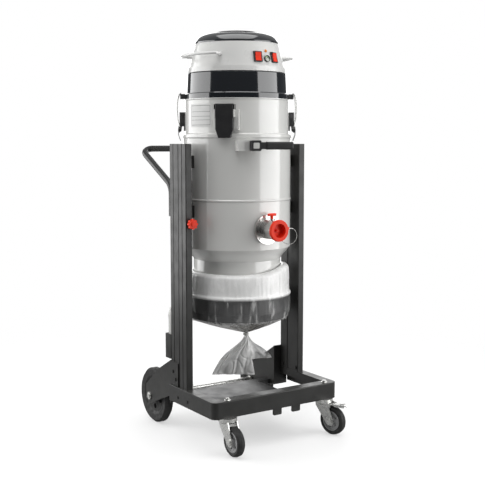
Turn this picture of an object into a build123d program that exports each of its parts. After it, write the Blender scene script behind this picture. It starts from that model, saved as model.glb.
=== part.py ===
from build123d import *
import os
from math import asin, cos, degrees, pi, radians, sin

# Industrial dust collector on a wheeled trolley.  Millimetres, +Z up, front towards -Y.
# The parts are drawn about the drum's axis (x = y = 0) with the floor at z = 0, and are
# moved by ORIGIN_X and ORIGIN_Y on export, so that the origin is under the middle of the box.

ORIGIN_X = 0.0
ORIGIN_Y = -28.22

# ---------------------------------------------------------------- driving dimensions
HOUSING_R = 210.0           # filter housing, outside
DRUM_R = 217.4              # drum below it, outside
SHEET = 2.0                 # wall of the painted steel vessels
NECK_R = 177.0              # outlet neck that the bag hangs on
Z_NECK = 640.0
Z_CONE_LOW = 707.0
Z_CONE_HIGH = 757.0
Z_SEAM = 950.0
Z_DRUM_TOP = 1203.0
Z_HOUSING_TOP = 1346.0
Z_LIP_TOP = 1368.5          # lower lip of the motor head's ring
Z_RING_TOP = 1449.5
Z_SHELL_TOP = 1564.0
Z_TOP = 1612.0
LIP_R = 208.5
RING_R = 203.0              # the ring at its foot, and at its top
RING_TOP_R = 199.0
SHELL_LOW_R = 197.5
SHELL_TOP_R = 168.0
HEAD_TURN = 5.5             # the head's control side stands this far round from the front

POST_X = 285.0              # outer face of a post
POST_T = 28.6
POST_FRONT = -78.0
POST_BACK = 48.0
POST_TOP = 1170.0
RAIL_LOW = 141.0
RAIL_TOP = 206.0
RAIL_X = 295.0
RAIL_W = 40.0
RAIL_FRONT = -296.0
FRONT_RAIL_D = 48.0

REAR_WHEEL_R = 115.5
REAR_WHEEL_W = 38.0
REAR_WHEEL_X = 255.0
REAR_WHEEL_Y = 230.0
AXLE_R = 10.0

LEFT_CASTER = (-224.0, -280.0, 0.0)     # swivel axis x and y, and the turn it rests at
RIGHT_CASTER = (245.0, -272.9, 14.0)
CASTER_R = 57.5
CASTER_W = 32.0
CASTER_TRAIL = 47.0
CASTER_AXLE_R = 6.0

INLET_Z = 839.0
INLET_R = 37.5              # outside of the stainless inlet tube
INLET_END = -295.0
PLUG_FRONT = -302.0

LATCH_ANGLES = (60.0, -120.0)
FLAP_ANGLE = -45.0
LABEL_ANGLE = -76.0
SHAKER_ANGLE = -17.0
SHAKER_Z = 1163.0
KNOB_Z = 862.0
SWITCH_SPREAD = 12.6
SWITCH_Z = 1503.0
LAMP_Z = SWITCH_Z + 23.5
GAUGE_Z = SWITCH_Z - 7

FIT = 0.05                  # running clearance of a pin in its hole, radial
GAP = 0.4                   # clearance between moving faces

BAG_LOW_Z = 212.0
KNOT = (31.0, -20.0, 387.0)
VIEW_TURN = -33.3           # the bag's flattened tail lies across this direction

parts = {}


# ---------------------------------------------------------------- helpers
def box(x0, x1, y0, y1, z0, z1):
    """A block between two corners."""
    centre = ((x0 + x1) / 2, (y0 + y1) / 2, (z0 + z1) / 2)
    return Pos(*centre) * Box(abs(x1 - x0), abs(y1 - y0), abs(z1 - z0))


def disc(radius, z0, z1, x=0.0, y=0.0):
    """A cylinder along Z."""
    return Pos(x, y, (z0 + z1) / 2) * Cylinder(radius, abs(z1 - z0))


def rod_x(radius, x0, x1, y, z):
    """A cylinder along X."""
    return Pos((x0 + x1) / 2, y, z) * Rot(0, 90, 0) * Cylinder(radius, abs(x1 - x0))


def rod_y(radius, y0, y1, x, z):
    """A cylinder along Y."""
    return Pos(x, (y0 + y1) / 2, z) * Rot(90, 0, 0) * Cylinder(radius, abs(y1 - y0))


def turned(*outline):
    """A solid of revolution about Z from (radius, z) points."""
    wire = Polyline(*[(r, 0, z) for r, z in outline], close=True)
    return revolve(make_face(wire), Axis.Z, 360)


def around(angle, shape):
    """Turns a shape drawn on the -Y side to the given angle, counted towards +X."""
    return Rot(0, 0, angle) * shape


def plate_x(x0, x1, *outline):
    """A plate across X, cut to an outline of (y, z) points."""
    face = make_face(Polyline(*[(x0, y, z) for y, z in outline], close=True))
    return extrude(face, x1 - x0, dir=(1, 0, 0))


def wire_run(radius, *points):
    """Round wire along straight runs, with a ball at each bend."""
    run = None
    for start, end in zip(points, points[1:]):
        line = Vector(*end) - Vector(*start)
        piece = Plane(origin=start, z_dir=line) * Pos(0, 0, line.length / 2) * Cylinder(
            radius, line.length
        )
        run = piece if run is None else run + piece
    for corner in points[1:-1]:
        run += Pos(*corner) * Sphere(radius)
    return run


def hex_head(radius, height, x, y, z):
    """A hexagon standing on z."""
    return Pos(x, y, z) * extrude(RegularPolygon(radius, 6), height)


def group(*shapes):
    """Separate solids that share one node."""
    return Compound([solid for shape in shapes for solid in shape.solids()])


def shell_radius(z):
    """Outer radius of the head's conical shell at a height."""
    share = (z - Z_RING_TOP) / (Z_SHELL_TOP - Z_RING_TOP)
    return SHELL_LOW_R + (SHELL_TOP_R - SHELL_LOW_R) * share


SHELL_TILT = degrees(asin((SHELL_LOW_R - SHELL_TOP_R) / (Z_SHELL_TOP - Z_RING_TOP)))


def on_shell(angle, z, shape):
    """Places a shape, drawn with its outward side towards -Y, on the conical shell."""
    return around(angle + HEAD_TURN, Pos(0, -shell_radius(z), z) * Rot(-SHELL_TILT, 0, 0) * shape)


# ---------------------------------------------------------------- trolley
def post(side):
    """A hollow upright with two grooves down its outer face and a closed top."""
    inner = POST_X - POST_T
    body = box(inner, POST_X, POST_FRONT, POST_BACK, RAIL_TOP, POST_TOP)
    body = fillet(body.edges().filter_by(Axis.Z), 3)
    body -= box(inner + 3, POST_X - 5, POST_FRONT + 3, POST_BACK - 3, RAIL_TOP - 1, POST_TOP - 4)
    for groove_y in (-48.0, -20.0, 20.0):
        body -= box(POST_X - 2.5, POST_X + 1, groove_y - 2, groove_y + 2, RAIL_TOP, POST_TOP)
    body -= box(inner - 1, inner + 2, -30, 0, RAIL_TOP, POST_TOP)
    return body if side > 0 else mirror(body, Plane.YZ)


def side_rail(side):
    """A box rail with a rounded front corner, open low down on its inner side."""
    inner = RAIL_X - RAIL_W
    body = box(inner, RAIL_X, RAIL_FRONT, POST_BACK, RAIL_LOW, RAIL_TOP)
    corner = body.edges().filter_by(Axis.Z).sort_by(Axis.Y)[:2].sort_by(Axis.X)[-1]
    body = fillet(corner, 24)
    body = fillet(body.faces().sort_by(Axis.Z)[-1].edges().sort_by(Axis.X)[-1], 2)
    body -= box(inner + 3, RAIL_X - 3, RAIL_FRONT + 30, POST_BACK + 1, RAIL_LOW + 3, RAIL_TOP - 3)
    body -= box(inner - 1, RAIL_X - 3, RAIL_FRONT + FRONT_RAIL_D, POST_BACK + 1, RAIL_LOW - 1, 176)
    return body if side > 0 else mirror(body, Plane.YZ)


def front_rail():
    """The cross rail, with two hanging tabs under it."""
    inner = RAIL_X - RAIL_W
    body = box(-inner, inner, RAIL_FRONT, RAIL_FRONT + FRONT_RAIL_D, RAIL_LOW, RAIL_TOP)
    body = fillet(body.faces().sort_by(Axis.Z)[-1].edges().sort_by(Axis.Y)[0], 4)
    body -= box(-inner + 60, inner - 60, RAIL_FRONT + 3, RAIL_FRONT + FRONT_RAIL_D - 3,
                RAIL_LOW + 3, RAIL_TOP - 3)
    for tab_x in (0.0, 90.0):
        tab = box(tab_x - 20, tab_x + 20, RAIL_FRONT + 4, RAIL_FRONT + 10, RAIL_LOW - 26, RAIL_LOW)
        body += fillet(tab.edges().filter_by(Axis.Y).sort_by(Axis.Z)[:2], 6)
    for x, y, turn in (LEFT_CASTER, RIGHT_CASTER):
        body -= disc(6.5, RAIL_LOW - 1, RAIL_TOP + 1, x, y)
    return body


def bag_tray():
    """A sheet between the front rail and the wheel brackets that the full bag rests on."""
    back = 110.0
    tray = box(-155, 155, RAIL_FRONT + FRONT_RAIL_D, back, RAIL_LOW + 3, RAIL_LOW + 6)
    tray += box(-222, 222, back - 34, back, RAIL_LOW - 14, RAIL_LOW + 6)
    return tray


def wheel_bracket(side):
    """A bent bracket behind a post, with an outer and an inner plate that hold the axle."""
    outer = plate_x(285.3, 289.3, (-14, 207), (-14, 300), (44, 306), (141, 253), (262, 160),
                    (262, 100), (236, 80), (205, 92), (53, 157), (53, 207))
    web = box(222, 289.3, POST_BACK, POST_BACK + 4, 128, 300)
    inner = plate_x(222, 226, (48, 300), (60, 292), (150, 236), (262, 160),
                    (262, 100), (236, 80), (205, 92), (48, 128))
    body = outer + web + inner
    body -= rod_x(AXLE_R, 200, 300, REAR_WHEEL_Y, REAR_WHEEL_R)
    return body if side > 0 else mirror(body, Plane.YZ)


def rear_axle():
    """The through axle, with collars that keep the wheels apart from the plates."""
    axle = rod_x(AXLE_R, -297, 297, REAR_WHEEL_Y, REAR_WHEEL_R)
    for side in (-1, 1):
        near = REAR_WHEEL_X - REAR_WHEEL_W / 2 - GAP
        far = REAR_WHEEL_X + REAR_WHEEL_W / 2 + GAP
        axle += rod_x(17, side * 226, side * near, REAR_WHEEL_Y, REAR_WHEEL_R)
        axle += rod_x(17, side * far, side * 285.3, REAR_WHEEL_Y, REAR_WHEEL_R)
        axle += rod_x(16, side * 289.3, side * 294, REAR_WHEEL_Y, REAR_WHEEL_R)
        axle += rod_x(15, side * 214, side * 222, REAR_WHEEL_Y, REAR_WHEEL_R)
    return axle


def rear_wheel(side):
    """A solid rubber wheel on a moulded hub."""
    half = REAR_WHEEL_W / 2
    tyre = turned((82, -half + 3), (REAR_WHEEL_R - 9, -half), (REAR_WHEEL_R, -half + 9),
                  (REAR_WHEEL_R, half - 9), (REAR_WHEEL_R - 9, half), (82, half - 3))
    hub = turned((AXLE_R + FIT, -half), (24, -half), (28, -half + 10), (70, -half + 10),
                 (82, -half + 3), (82, half - 3), (70, half - 10), (28, half - 10),
                 (24, half), (AXLE_R + FIT, half))
    for turn in range(5):
        hub -= Rot(0, 0, 72 * turn) * Pos(49, 0, 0) * Cylinder(11, REAR_WHEEL_W)
    place = Pos(side * REAR_WHEEL_X, REAR_WHEEL_Y, REAR_WHEEL_R) * Rot(0, 90, 0)
    return group(place * tyre, place * hub)


def push_handle():
    """A bent tube: two legs on the posts' backs, leaning back to a cross bar."""
    leg_x = 268.0
    leg_y = POST_BACK + 13.5
    back = 328.0
    line = FilletPolyline((-leg_x, leg_y, 884), (-leg_x, leg_y, 1005), (-leg_x, back, 1150),
                          (leg_x, back, 1150), (leg_x, leg_y, 1005), (leg_x, leg_y, 884),
                          radius=58)
    start = Plane(origin=(-leg_x, leg_y, 884), z_dir=(0, 0, 1))
    return sweep(start * (Circle(13) - Circle(10.5)), path=line)


def drum_mounts():
    """Saddle blocks between the drum and the posts, and the trolley's bolt heads."""
    pieces = []
    for side in (-1, 1):
        for z in (905.0, 1100.0):
            block = box(side * 200, side * (POST_X - POST_T), -26, 26, z - 24, z + 24)
            pieces.append(block - Cylinder(DRUM_R, 4000))
    for side in (-1, 1):
        for y, z in ((28.0, 262.0), (8.0, 232.0)):
            pieces.append(rod_x(7, side * 289.3, side * 293.3, y, z))
        for y in (-95.0, -20.0):
            pieces.append(rod_x(6, side * RAIL_X, side * (RAIL_X + 3), y, 165))
        inner = side * (POST_X - POST_T)
        for y in (-62.0, 30.0):
            pieces.append(rod_x(7, inner, inner - side * 5, y, 222))
    return group(*pieces)


# ---------------------------------------------------------------- casters
def caster_place(side):
    """Where a caster's own frame stands: swivel axis through the front rail's end."""
    x, y, turn = RIGHT_CASTER if side > 0 else LEFT_CASTER
    return Pos(x, y, 0) * Rot(0, 0, turn)


def caster_tops():
    """The fixed upper race, king pin and top nut of each caster."""
    pieces = []
    for x, y, turn in (LEFT_CASTER, RIGHT_CASTER):
        race = turned((0, 108), (6, 108), (6, 133), (36, 133), (36, RAIL_LOW), (6.4, RAIL_LOW),
                      (6.4, RAIL_TOP), (13, RAIL_TOP), (13, RAIL_TOP + 2), (6, RAIL_TOP + 2),
                      (6, RAIL_TOP + 9), (0, RAIL_TOP + 9))
        race += hex_head(9.5, 6, 0, 0, RAIL_TOP + 2)
        pieces.append(Pos(x, y, 0) * race)
    return group(*pieces)


def caster_fork(with_brake):
    """Swivel crown, two legs and the wheel's axle, in the caster's own frame."""
    crown = turned((6 + FIT, 121), (30, 121), (36, 127), (36, 133 - GAP), (6 + FIT, 133 - GAP))
    fork = crown
    for side in (-1, 1):
        leg = plate_x(side * 19, side * 22.5, (-34, 131), (26, 131), (24, 112), (-30, 46),
                      (-40, 40), (-56, 40), (-64, 50), (-60, 72))
        fork += leg
        fork += box(side * 18, side * 22.5, -30, 22, 121, 131)
        fork += rod_x(11, side * 22.5, side * 28, -CASTER_TRAIL, CASTER_R)
    fork += rod_x(CASTER_AXLE_R, -26, 26, -CASTER_TRAIL, CASTER_R)
    if with_brake:
        for side in (-1, 1):
            fork += plate_x(side * 19, side * 22.5, (-32, 131), (-32, 112), (-48, 112), (-50, 126))
        fork += rod_x(2.5, -20, 20, -41.5, 121)
    return fork


def caster_tyre():
    """Rubber tread with a slightly crowned face."""
    half = CASTER_W / 2
    tyre = turned((40, -half + 2), (CASTER_R - 8, -half), (CASTER_R - 2, -half + 5),
                  (CASTER_R, 0), (CASTER_R - 2, half - 5), (CASTER_R - 8, half), (40, half - 2))
    return Pos(0, -CASTER_TRAIL, CASTER_R) * Rot(0, 90, 0) * tyre


def caster_hub():
    """Grey moulded centre with five spokes and a boss."""
    half = CASTER_W / 2
    bore = CASTER_AXLE_R + FIT
    hub = turned((bore, -18), (13, -18), (15, -half + 6), (33, -half + 6), (36, -half + 1),
                 (40, -half + 2), (40, half - 2), (36, half - 1), (33, half - 6), (15, half - 6),
                 (13, 18), (bore, 18))
    for turn in range(5):
        hub -= Rot(0, 0, 72 * turn + 18) * Pos(24.5, 0, 0) * Cylinder(6, CASTER_W + 8)
    return Pos(0, -CASTER_TRAIL, CASTER_R) * Rot(0, 90, 0) * hub


def brake_pedal():
    """Pressed steel pedal that leans out over the wheel, in the caster's own frame."""
    pedal = plate_x(-16, 16, (-38, 124), (-60, 126), (-112, 134), (-128, 132), (-129, 128.5),
                    (-112, 131), (-60, 123), (-38, 121))
    pedal += rod_x(5, -17, 17, -41.5, 121)
    pedal -= rod_x(2.5 + FIT, -30, 30, -41.5, 121)
    for side in (-1, 1):
        pedal += plate_x(side * 14, side * 16, (-60, 126), (-112, 134), (-112, 122), (-62, 118))
    pedal -= Pos(0, -92, 128) * Box(12, 26, 30)
    return pedal


# ---------------------------------------------------------------- drum and inlet
def drum_body():
    """Rolled drum with a seam bead, a conical bottom and the bag neck."""
    r, t = DRUM_R, SHEET
    drum = turned((NECK_R - t, Z_NECK), (NECK_R, Z_NECK), (NECK_R, Z_CONE_LOW), (r, Z_CONE_HIGH),
                  (r, Z_SEAM - 5), (r + 2.5, Z_SEAM - 2), (r + 2.5, Z_SEAM + 2), (r, Z_SEAM + 5),
                  (r, Z_DRUM_TOP - 12), (r + 3, Z_DRUM_TOP - 8), (r + 3, Z_DRUM_TOP),
                  (HOUSING_R - t, Z_DRUM_TOP), (HOUSING_R - t, Z_DRUM_TOP - 6), (r - t, Z_DRUM_TOP - 12),
                  (r - t, Z_CONE_HIGH + 1), (NECK_R - t, Z_CONE_LOW + 1))
    return drum - rod_y(INLET_R, -300, -150, 0, INLET_Z)


def inlet_flange():
    """Stainless collar on the drum, with its four screws."""
    flange = rod_y(59, DRUM_R * -1 - 5, -150, 0, INLET_Z) - Cylinder(DRUM_R, 4000)
    flange -= rod_y(INLET_R, -300, -100, 0, INLET_Z)
    screws = []
    for turn in (45, 135, 225, 315):
        x = 50 * sin(radians(turn))
        z = INLET_Z + 50 * cos(radians(turn))
        screws.append(rod_y(5, -DRUM_R - 8.5, -DRUM_R - 5, x, z))
    return group(flange, *screws)


def inlet_tube():
    """Stainless spigot through the drum wall, with a threaded stud for the T knob."""
    tube = rod_y(INLET_R, INLET_END, -196, 0, INLET_Z)
    knob_y = -248.0
    top = INLET_Z + INLET_R
    tube += disc(9, INLET_Z + 20, top + 5, 0, knob_y)
    tube += disc(3, top + 5, top + 22, 0, knob_y)
    return tube - rod_y(INLET_R - 2.5, -300, -100, 0, INLET_Z)


def inlet_knob():
    """Red T knob on the stud."""
    knob_y = -248.0
    low = INLET_Z + INLET_R + 5 + GAP
    knob = disc(6.5, low, low + 12, 0, knob_y)
    bar = rod_x(5.5, -15, 15, knob_y, low + 16)
    for end in (-15, 15):
        bar += Pos(end, knob_y, low + 16) * Sphere(5.5)
    knob += bar
    return knob - disc(3 + FIT, low - 1, low + 17, 0, knob_y)


def inlet_plug():
    """Red closing cup that slides over the spigot, with an eye for its tether."""
    y0 = PLUG_FRONT
    plug = rod_y(42, y0, y0 + 11, 0, INLET_Z)
    front = plug.faces().sort_by(Axis.Y)[0].edges()
    plug = fillet(front, 3)
    plug -= rod_y(INLET_R + FIT, y0 + 6, y0 + 40, 0, INLET_Z)
    plug += rod_y(30.5, y0 + 4, y0 + 28, 0, INLET_Z)
    plug -= rod_y(27.5, y0 - 1, y0 + 25, 0, INLET_Z)
    plug += rod_y(6, y0 + 20, y0 + 25, 0, INLET_Z)
    plug += rod_y(3.2, y0 + 12, y0 + 20, 0, INLET_Z)
    plug += box(40, 47, y0 + 4, y0 + 10.5, INLET_Z + 2, INLET_Z + 12)
    return plug


TETHER_POINTS = (
    (47.0, PLUG_FRONT + 7.5, INLET_Z + 7),
    (61.0, PLUG_FRONT + 8.0, INLET_Z + 7),
    (77.0, PLUG_FRONT + 12.0, INLET_Z + 2),
    (93.0, PLUG_FRONT + 20.0, INLET_Z - 11),
    (104.0, PLUG_FRONT + 30.0, INLET_Z - 29),
    (105.0, PLUG_FRONT + 40.0, INLET_Z - 48),
    (95.0, PLUG_FRONT + 50.0, INLET_Z - 60),
    (79.0, PLUG_FRONT + 58.0, INLET_Z - 62),
    (64.0, PLUG_FRONT + 65.0, INLET_Z - 53),
    (54.0, PLUG_FRONT + 71.0, INLET_Z - 40),
    (50.0, PLUG_FRONT + 74.5, INLET_Z - 27),
)
TETHER_R = 1.2


def tether():
    """Steel wire loop from the plug's eye to the flange, as straight runs and arcs."""
    points = [Vector(*p) for p in TETHER_POINTS]
    radii = []
    for before, here, after in zip(points, points[1:], points[2:]):
        turn = radians((here - before).get_angle(after - here))
        radii.append(0.45 * min((here - before).length, (after - here).length) / sin(turn / 2) * cos(turn / 2))
    print("tether radii", [round(r, 1) for r in radii])
    path = FilletPolyline(*TETHER_POINTS, radius=radii)
    start = Plane(origin=points[0], z_dir=points[1] - points[0])
    wire = sweep(start * Circle(TETHER_R), path=path)
    print("tether volume", round(wire.volume, 1), "section x length", round(pi * TETHER_R**2 * path.length, 1))
    print("tether length", round(path.length, 1))
    return wire


def clamp_washer():
    """Black base and stud of the star knob, on the left post's front face."""
    x = -(POST_X - POST_T / 2 - 7)
    base = rod_y(17, POST_FRONT - 4, POST_FRONT, x, KNOB_Z)
    return base + rod_y(4, POST_FRONT - 18, POST_FRONT - 4, x, KNOB_Z)


def clamp_knob():
    """Red star knob with eight lobes."""
    x = -(POST_X - POST_T / 2 - 7)
    back = POST_FRONT - 4 - GAP
    knob = rod_y(16, back - 18, back, x, KNOB_Z)
    for lobe in range(8):
        a = radians(45 * lobe)
        knob += rod_y(5, back - 18, back - 4, x + 15.5 * cos(a), KNOB_Z + 15.5 * sin(a))
    knob += rod_y(9, back - 21, back - 18, x, KNOB_Z)
    return knob - rod_y(4 + FIT, back - 15, back + 1, x, KNOB_Z)


# ---------------------------------------------------------------- filter housing
def filter_housing():
    """Rolled housing with a bead at each end."""
    r, t = HOUSING_R, SHEET
    return turned((r - t, Z_DRUM_TOP), (r + 8, Z_DRUM_TOP), (r + 8, Z_DRUM_TOP + 4),
                  (r, Z_DRUM_TOP + 9), (r, Z_HOUSING_TOP - 6), (r + 2.5, Z_HOUSING_TOP - 3),
                  (r + 2.5, Z_HOUSING_TOP), (r - t, Z_HOUSING_TOP))


def filter_cartridge():
    """Pleated filter hanging from a flange at the housing's top."""
    pleats = 40
    outline = []
    for tooth in range(2 * pleats):
        radius = 168 if tooth % 2 else 146
        a = pi * tooth / pleats
        outline.append((radius * cos(a), radius * sin(a)))
    ring = make_face(Polyline(*outline, close=True)) - Circle(120)
    media = Pos(0, 0, 1040) * extrude(ring, 296)
    flange = disc(207.5, 1336, 1340) - disc(120, 1300, 1400)
    base = disc(170, 1034, 1040)
    return media + flange + base


def head_gasket():
    """Foam seal between the housing and the head."""
    return disc(207.5, 1340, Z_HOUSING_TOP) - disc(196, 1300, 1400)


HINGE = (-229.0, 1312.0)            # y, z of the flap's hinge pin


def flap_frame():
    """Light grey frame plate of the filter-cleaning flap, with two ears for its hinge pin."""
    frame = box(-40, 54, -221, -196, 1222, 1300)
    for side in (-1, 1):
        frame += box(side * 36, side * 40, -234, -196, 1270, 1320)
    frame -= Cylinder(HOUSING_R, 4000)
    frame += rod_x(3, -38, 38, *HINGE)
    frame += rod_y(3.5, -223, -220, 46, 1229)
    return around(FLAP_ANGLE, frame)


def filter_flap():
    """Black moulded flap, narrower towards its lower end."""
    half, low = 35.0, 23.5
    back = -221 - GAP
    outline = [(-half, 1322), (half, 1322), (half, 1226), (low, 1192), (-low, 1192), (-half, 1226)]
    face = make_face(Polyline(*[(x, back, z) for x, z in outline], close=True))
    flap = extrude(face, 14, dir=(0, -1, 0))
    flap = fillet(flap.faces().sort_by(Axis.Y)[0].edges(), 3)
    flap -= rod_x(3 + FIT, -60, 60, *HINGE)
    return around(FLAP_ANGLE, flap)


def label_plate():
    """Blank rating plate, curved to the housing."""
    plate = turned((HOUSING_R, 1236), (HOUSING_R + 1.2, 1236), (HOUSING_R + 1.2, 1324), (HOUSING_R, 1324))
    return around(LABEL_ANGLE, plate & box(-58, 58, -300, 0, 1200, 1400))


def shaker_bracket():
    """Block on the drum that carries the shaker's pivot."""
    block = box(-66, 12, -246, -200, SHAKER_Z - 20, SHAKER_Z + 20) - Cylinder(DRUM_R, 4000)
    block = block.solids().sort_by(SortBy.VOLUME)[-1]
    block += rod_y(6, -262, -246, 0, SHAKER_Z)
    return around(SHAKER_ANGLE, block)


def shaker_lever():
    """Black moulded lever: a head on the pivot, a saddle and a straight rounded grip."""
    back = -246 - GAP
    front = back - 24
    head = box(-20, 20, front, back, SHAKER_Z - 20, SHAKER_Z + 20)
    head = fillet(head.edges().filter_by(Axis.Y), 6)
    saddle = box(18, 45, front + 3, back - 3, SHAKER_Z - 13, SHAKER_Z + 13)
    grip = box(43, 150, front, back - 2, SHAKER_Z - 15, SHAKER_Z + 15)
    grip = fillet(grip.edges().filter_by(Axis.X), 8)
    grip = fillet(grip.faces().sort_by(Axis.X)[-1].edges(), 6)
    lever = head + saddle + grip
    return around(SHAKER_ANGLE, lever - rod_y(6 + FIT, -262.5, -240, 0, SHAKER_Z))


# ---------------------------------------------------------------- toggle latches
LATCH_PIVOT = (-226.0, 1248.0)      # y, z of the lever's pivot
BAIL_PIVOT = (-229.0, 1234.0)       # y, z of the bail's pivot on the lever


def latch_base(angle):
    """Base plate with two ears and the lever's pin, and the hook lug on the head's lip."""
    base = box(-16, 16, -214, -196, 1222, 1296) - Cylinder(HOUSING_R, 4000)
    for side in (-1, 1):
        base += box(side * 7, side * 10.5, -231, -213, 1240, 1296)
    base += rod_x(3, -15.5, 15.5, *LATCH_PIVOT)
    hook = box(-11, 11, -228, -200, 1349, Z_LIP_TOP) - Cylinder(LIP_R, 4000)
    return group(around(angle, base), around(angle, hook.solids().sort_by(SortBy.VOLUME)[-1]))


def latch_lever(angle):
    """Channel lever with a curved tail and two stub pins for the bail."""
    lever = None
    for side in (-1, 1):
        cheek = plate_x(side * 11.5, side * 14, (-219, 1254), (-233, 1254), (-236, 1226),
                        (-233, 1214), (-224, 1222))
        cheek -= rod_x(3 + FIT, -20, 20, *LATCH_PIVOT)
        lever = cheek if lever is None else lever + cheek
        lever += rod_x(2.5, side * 13, side * 21, *BAIL_PIVOT)
    lever += plate_x(-14, 14, (-233, 1240), (-235.4, 1240), (-237.4, 1225), (-236.4, 1205),
                     (-231.3, 1189), (-228.2, 1182), (-226, 1183.4), (-229, 1190.2),
                     (-234, 1205.6), (-235, 1225))
    return around(angle, lever)


def latch_bail(angle):
    """Wire bail from the lever over the hook lug."""
    y, z = BAIL_PIVOT
    side_run = [(y, z), (-238, 1268), (-240.5, 1310), (-238, 1346), (-232.5, 1364), (-225.5, 1371)]
    left = [(-17.8, *point) for point in side_run]
    right = [(17.8, *point) for point in reversed(side_run)]
    bail = wire_run(2, *left, *right)
    for side in (-1, 1):
        bail += rod_x(5, side * 15.6, side * 20, y, z)
    bail -= rod_x(2.5 + FIT, -30, 30, y, z)
    return around(angle, bail)


# ---------------------------------------------------------------- motor head
def head_ring():
    """Glossy ring under the shell, with a wider lower lip."""
    inner = RING_TOP_R - 3
    return turned((LIP_R - 16, Z_HOUSING_TOP), (LIP_R, Z_HOUSING_TOP), (LIP_R, Z_LIP_TOP - 3),
                  (LIP_R - 2.5, Z_LIP_TOP), (RING_R, Z_LIP_TOP), (RING_TOP_R, Z_RING_TOP - 4),
                  (RING_TOP_R - 4, Z_RING_TOP), (RING_TOP_R - 18, Z_RING_TOP),
                  (RING_TOP_R - 18, Z_RING_TOP - 3), (inner, Z_RING_TOP - 6),
                  (inner, Z_HOUSING_TOP + 3), (LIP_R - 16, Z_HOUSING_TOP + 3))


def head_shell():
    """Conical shell with a small step near its base, cut out for the controls."""
    t = 3.0
    step = Z_RING_TOP + 19
    shell = turned((SHELL_LOW_R - t, Z_RING_TOP), (SHELL_LOW_R + 1, Z_RING_TOP),
                   (SHELL_LOW_R - 1.5, step), (shell_radius(step), step),
                   (SHELL_TOP_R, Z_SHELL_TOP), (SHELL_TOP_R - t, Z_SHELL_TOP))
    for angle in (-SWITCH_SPREAD, SWITCH_SPREAD):
        shell -= on_shell(angle, SWITCH_Z, box(-BEZEL_HALF, BEZEL_HALF, -20, 20, -20.5, 20.5))
    shell -= on_shell(0, LAMP_Z, rod_y(5.5, -20, 20, 0, 0))
    return shell - on_shell(0, GAUGE_Z, rod_y(13, -20, 20, 0, 0))


def head_cap():
    """Domed cap with a high rounded shoulder."""
    rim_r = SHELL_TOP_R + 1.0
    rim_top = Z_SHELL_TOP + 2
    shoulder = [(rim_r, rim_top), (rim_r - 3, rim_top + 9), (rim_r - 9.5, rim_top + 18), (151, 1591.5),
                (140, 1597), (120, 1602), (60, 1609), (0, Z_TOP)]
    dome = Edge.make_spline([(r, 0, z) for r, z in shoulder], tangents=[(0, 0, 1), (-1, 0, 0)])
    outline = Wire([
        Edge.make_line((0, 0, Z_SHELL_TOP), (rim_r, 0, Z_SHELL_TOP)),
        Edge.make_line((rim_r, 0, Z_SHELL_TOP), (rim_r, 0, rim_top)),
        dome,
        Edge.make_line((0, 0, Z_TOP), (0, 0, Z_SHELL_TOP)),
    ])
    return revolve(Face(outline), Axis.Z, 360)


def head_handles():
    """Two tubular lifting loops, one on each side of the head."""
    z = 1514.0
    reach = 223.0
    tube_r = 5.5
    half_span = 30.5
    loops = []
    for side in (-90.0, 90.0):
        arc = CenterArc((0, 0, z), reach, side - half_span + HEAD_TURN - 90, 2 * half_span)
        section = Plane(origin=arc @ 0, z_dir=arc % 0) * Circle(tube_r)
        loop = sweep(section, path=arc)
        for end in (side - half_span, side + half_span):
            spur = rod_y(tube_r, -reach, -shell_radius(z) + 4, 0, z)
            ball = Pos(0, -reach, z) * Sphere(tube_r)
            sleeve = rod_y(7, -shell_radius(z) - 20, -shell_radius(z) + 4, 0, z)
            loop += around(end + HEAD_TURN, spur + ball + sleeve)
        cone = turned((0, z - 40), (shell_radius(z - 40), z - 40), (shell_radius(z + 40), z + 40), (0, z + 40))
        loops.append(loop - cone)
    return group(*loops)


BEZEL_HALF = 17.5


def switch_bezel(angle):
    """Black frame of a rocker switch."""
    frame = box(-BEZEL_HALF, BEZEL_HALF, -5, 8, -20.5, 20.5)
    frame -= box(-12.5, 12.5, -6, 5.5, -17.5, 17.5)
    frame += rod_x(2, -13, 13, 0, 0)
    return on_shell(angle, SWITCH_Z, frame)


ROCKER_REST = 7.0


def rocker(angle):
    """Red rocker on a pin, resting on one end."""
    body = plate_x(-12, 12, (-1, -9), (-8.5, -16.4), (-6.5, 0), (-8.5, 16.4), (-1, 9), (2.6, 2), (2.6, -2))
    body -= rod_x(2 + FIT, -20, 20, 0, 0)
    body = Rot(ROCKER_REST, 0, 0) * body
    return on_shell(angle, SWITCH_Z, body)


def pilot_lamp():
    """Small orange dome between the switches."""
    lamp = rod_y(5.5, -3, 3, 0, 0) + Pos(0, -3, 0) * Sphere(4.5)
    return on_shell(0, LAMP_Z, lamp)


def gauge_body():
    """Vacuum gauge: a rim round a recessed dial, with the needle's pin."""
    body = rod_y(13, -7, 3, 0, 0) - rod_y(11, -8, -2, 0, 0)
    body += rod_y(1, -5, -2, 0, 0)
    return on_shell(0, GAUGE_Z, body)


def gauge_needle():
    """Needle turning on the dial's pin."""
    needle = rod_y(2.4, -4.6, -3, 0, 0) + box(-0.7, 0.7, -4.2, -3.2, 0, 9)
    needle -= rod_y(1 + FIT, -6, 0, 0, 0)
    return on_shell(0, GAUGE_Z, Rot(0, 35, 0) * needle)


def motor_plate():
    """Plate inside the head that carries the motors."""
    plate = disc(RING_TOP_R - 3, 1384, 1388)
    for side in (-1, 1):
        plate -= disc(30, 1300, 1400, side * 82, 0)
    return plate


def motors():
    """Two bypass vacuum motors: fan housing, windings and commutator cap."""
    pieces = []
    for side in (-1, 1):
        motor = turned((0, 1388), (71, 1388), (71, 1426), (66, 1432), (46, 1434), (46, 1500), (40, 1512), (0, 1512))
        pieces.append(Pos(side * 82, 0, 0) * motor)
    return group(*pieces)


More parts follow.
